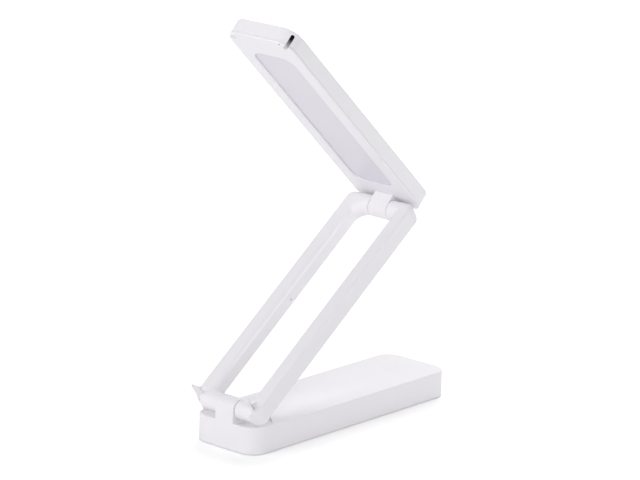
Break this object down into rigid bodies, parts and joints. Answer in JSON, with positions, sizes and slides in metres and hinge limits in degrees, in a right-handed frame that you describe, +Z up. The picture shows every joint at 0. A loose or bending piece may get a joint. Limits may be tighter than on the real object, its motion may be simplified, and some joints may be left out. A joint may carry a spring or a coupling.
{
  "type": "folding desk lamp",
  "caption": "Folding LED desk lamp: long base, open frame arm and flat lighting head on two friction hinges, shown unfolded in a zigzag; touch key on the base.",
  "frame": {"origin": "middle of the underside of the base, on the table", "axes": "+Z up; X across the lamp and along both hinge axes; the lower hinge is at the base's -Y end and the arm leans back over the base towards +Y"},
  "size_m": [0.048, 0.1741, 0.2408],
  "materials": {
    "base_shell": "fine satin, moulded",
    "base_cover": "satin",
    "anti_slip_pad": "matt",
    "cover_screws": "zinc plated",
    "ballast_plate": "rolled",
    "battery_pack": "foil pouch",
    "control_board": "solder resist",
    "charging_port": "stamped shell",
    "touch_key": "fine satin",
    "touch_contact": "conductive foam",
    "base_lead": "insulated wire",
    "arm_frame": "fine satin, moulded",
    "rail_covers": "satin",
    "lower_hinge_shaft": "ground",
    "lower_hinge_bush": "turned",
    "lower_friction_washers": "stamped",
    "upper_hinge_shaft": "ground",
    "upper_hinge_bush": "turned",
    "upper_friction_washers": "stamped",
    "arm_lead": "insulated wire",
    "head_shell": "fine satin, moulded",
    "head_frame": "fine satin, moulded",
    "diffuser_panel": "milky satin acrylic",
    "light_guide": "clear, dotted",
    "reflector_sheet": "white film",
    "led_board": "white solder resist",
    "leds": "phosphor",
    "head_lead": "insulated wire"
  },
  "bodies": {
    "base": {"base_shell": "base_shell", "base_cover": "base_cover", "anti_slip_pad": "anti_slip_pad", "cover_screws": "cover_screws", "ballast_plate": "ballast_plate", "battery_pack": "battery_pack", "control_board": "control_board", "charging_port": "charging_port", "touch_key": "touch_key", "touch_contact": "touch_contact", "base_lead": "base_lead"},
    "arm": {"arm_frame": "arm_frame", "rail_covers": "rail_covers", "lower_hinge_shaft": "lower_hinge_shaft", "lower_hinge_bush": "lower_hinge_bush", "lower_friction_washers": "lower_friction_washers", "upper_hinge_shaft": "upper_hinge_shaft", "upper_hinge_bush": "upper_hinge_bush", "upper_friction_washers": "upper_friction_washers", "arm_lead": "arm_lead"},
    "head": {"head_shell": "head_shell", "head_frame": "head_frame", "diffuser_panel": "diffuser_panel", "light_guide": "light_guide", "reflector_sheet": "reflector_sheet", "led_board": "led_board", "leds": "leds", "head_lead": "head_lead"}
  },
  "joints": [
    {"name": "lower_hinge", "type": "hinge", "parent": "base", "child": "arm", "pos_m": [0, -0.0782, 0.0232], "axis": [1, 0, 0], "range_deg": [-36.8, 53.2]},
    {"name": "upper_hinge", "type": "hinge", "parent": "arm", "child": "head", "pos_m": [0, 0.04703, 0.11689], "axis": [-1, 0, 0], "range_deg": [-80.3, 9.7]}
  ]
}
